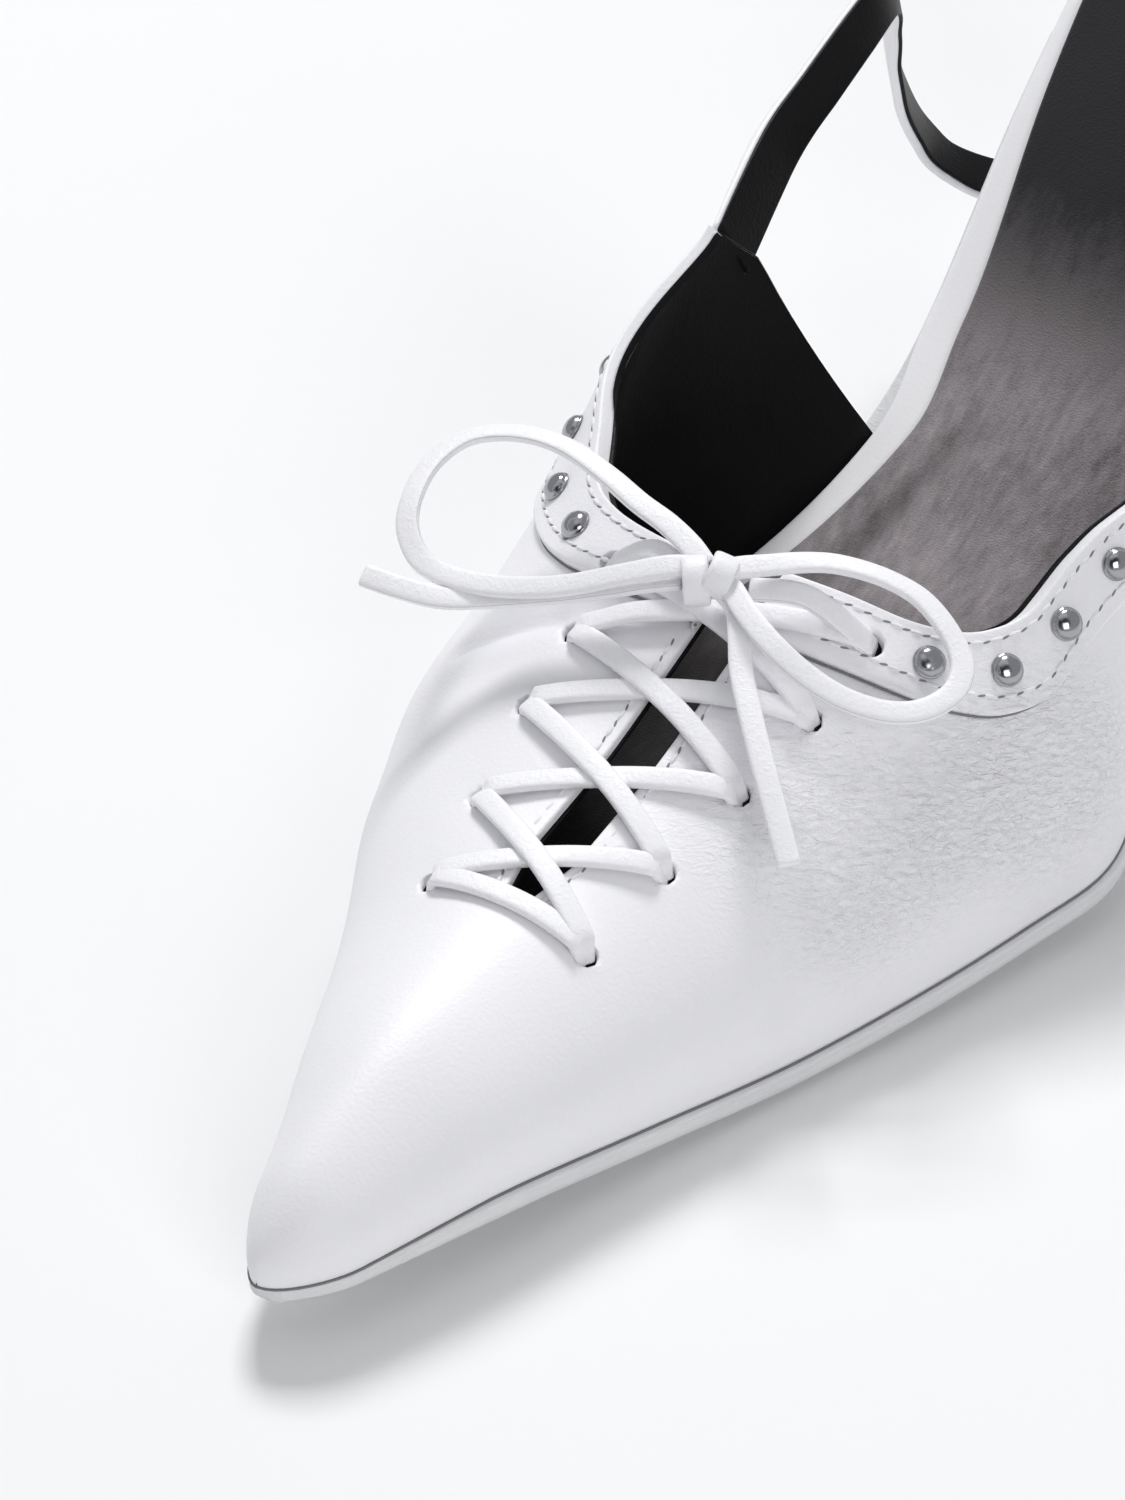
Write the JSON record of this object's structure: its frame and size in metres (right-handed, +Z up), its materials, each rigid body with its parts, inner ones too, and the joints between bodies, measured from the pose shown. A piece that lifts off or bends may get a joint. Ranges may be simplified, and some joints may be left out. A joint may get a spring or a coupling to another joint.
{
  "type": "slingback stiletto shoe",
  "caption": "Left pointed-toe slingback stiletto with a laced slit vamp tied in a bow, a raised studded collar band and a slack sling strap.",
  "frame": {"origin": "on the flat of the outsole under the ball of the foot, on the shoe's long axis", "axes": "+Y towards the heel, toe at -Y; +X towards the outer side of the foot; +Z up from the floor"},
  "size_m": [0.0906, 0.2515, 0.0752],
  "materials": {
    "white_leather": "soft semi-matt",
    "white_lace": "soft semi-matt, folded and stitched",
    "grey_rubber": "matt",
    "grey_suede": "napped",
    "polished_silver": "polished"
  },
  "bodies": {
    "root": {"upper": "white_leather", "collar_band_lateral": "white_leather", "collar_band_medial": "white_leather", "outsole": "grey_rubber", "insole_board": "white_leather", "insole_sock": "grey_suede", "heel": "white_leather", "heel_tip": "grey_rubber", "sling_strap": "white_leather", "lace_crossings": "white_lace", "stud_lateral_1": "polished_silver", "stud_lateral_2": "polished_silver", "stud_lateral_3": "polished_silver", "stud_lateral_4": "polished_silver", "stud_lateral_5": "polished_silver", "stud_lateral_6": "polished_silver", "stud_medial_1": "polished_silver", "stud_medial_2": "polished_silver", "stud_medial_3": "polished_silver", "stud_medial_4": "polished_silver", "stud_medial_5": "polished_silver", "stud_medial_6": "polished_silver", "lace_knot": "white_lace", "lace_loop_medial": "white_lace", "lace_end_medial": "white_lace", "lace_loop_lateral": "white_lace", "lace_end_lateral": "white_lace"}
  },
  "joints": []
}
